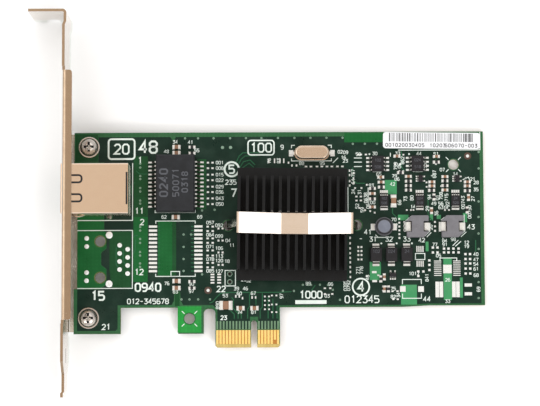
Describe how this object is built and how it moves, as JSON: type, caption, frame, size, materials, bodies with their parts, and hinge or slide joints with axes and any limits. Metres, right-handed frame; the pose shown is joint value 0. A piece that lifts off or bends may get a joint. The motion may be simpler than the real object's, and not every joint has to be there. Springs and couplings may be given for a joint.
{
  "type": "network interface card",
  "caption": "Expansion card with a network socket, finned heat sink with a spring clip, gold edge contacts and a folded steel slot bracket.",
  "frame": {"origin": "centre line of the key slot at the contact tab's lower edge, on the board's component face", "axes": "+X along the board away from the slot bracket, +Y from the contact tab up the board, +Z off the component face"},
  "size_m": [0.1419, 0.12, 0.0184],
  "materials": {
    "board": "solder-masked glass laminate",
    "gold": "hard gold plate",
    "bracket_steel": "bright zinc or nickel plated sheet",
    "screw_steel": "nickel plated",
    "shield_tin": "tin plated brass sheet",
    "socket_black": "moulded",
    "lamp_lens": "translucent",
    "lead_tin": "tin plated",
    "solder": "bright solder",
    "mould_black": "moulded epoxy",
    "transformer_black": "moulded epoxy",
    "substrate_green": "laminate under moulded epoxy",
    "sink_black": "black anodised",
    "clip_steel": "bright spring steel",
    "pad_grey": "silicone pad",
    "crystal_case": "drawn nickel silver",
    "coil_ferrite": "fired ferrite",
    "capacitor_ceramic": "fired ceramic",
    "resistor_ceramic": "glazed ceramic",
    "end_tin": "tin plated",
    "label_paper": "coated"
  },
  "bodies": {
    "root": {"bar_code_label": "label_paper", "bracket": "bracket_steel", "bracket_screws": "screw_steel", "bulk_capacitor_bodies": "capacitor_ceramic", "bulk_capacitor_ends": "end_tin", "capacitor_bodies": "capacitor_ceramic", "capacitor_ends": "end_tin", "circuit_board": "board", "controller_balls": "solder", "controller_package": "substrate_green", "crystal_base": "socket_black", "crystal_can": "crystal_case", "crystal_leads": "lead_tin", "diode_bodies": "mould_black", "diode_leads": "lead_tin", "edge_contacts_back": "gold", "edge_contacts_front": "gold", "heat_sink": "sink_black", "heat_sink_clip": "clip_steel", "memory_bodies": "mould_black", "memory_leads": "lead_tin", "resistor_bodies": "resistor_ceramic", "resistor_ends": "end_tin", "round_coil": "coil_ferrite", "round_coil_terminals": "lead_tin", "small_chip_bodies": "mould_black", "small_chip_pins": "lead_tin", "socket_contacts": "gold", "socket_housing": "socket_black", "socket_lamp_pins": "lead_tin", "socket_lamps": "lamp_lens", "socket_shield": "shield_tin", "solder_joints": "solder", "square_coil_terminals": "lead_tin", "square_coils": "coil_ferrite", "switch_bodies": "mould_black", "switch_pins": "lead_tin", "thermal_pad": "pad_grey", "transformer_body": "transformer_black", "transformer_leads": "lead_tin"}
  },
  "joints": []
}
